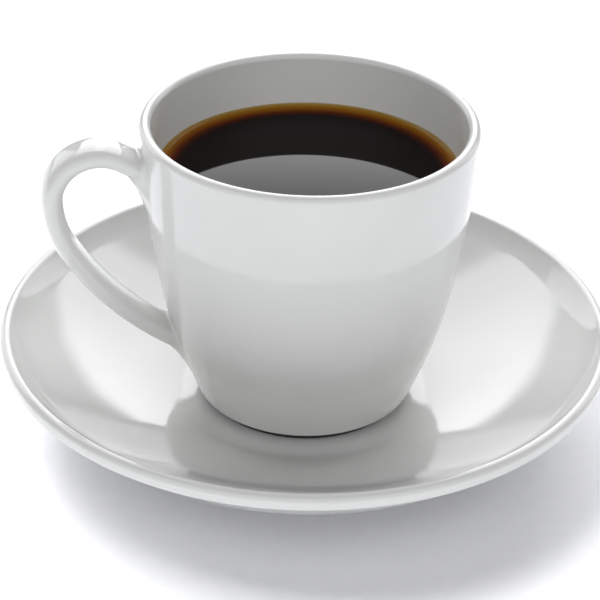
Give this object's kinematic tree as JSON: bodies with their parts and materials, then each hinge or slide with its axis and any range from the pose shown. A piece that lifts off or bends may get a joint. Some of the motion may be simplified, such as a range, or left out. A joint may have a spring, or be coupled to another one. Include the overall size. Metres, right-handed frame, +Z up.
{
  "type": "espresso shot",
  "caption": "Black espresso in a white porcelain cup with a loop handle, standing on its round saucer.",
  "frame": {"origin": "middle of the saucer's foot ring on the table, on the cup's own axis", "axes": "+Z up along the cup's axis, -X towards the handle, and the XZ plane halves the cup and its handle"},
  "size_m": [0.118, 0.118, 0.0646],
  "materials": {
    "cup_glaze": "white high-gloss glaze",
    "saucer_glaze": "white high-gloss glaze",
    "black_coffee": "still liquid surface, clear and near black, amber where it thins at the wall"
  },
  "bodies": {
    "root": {"cup": "cup_glaze", "saucer": "saucer_glaze", "coffee": "black_coffee"}
  },
  "joints": []
}
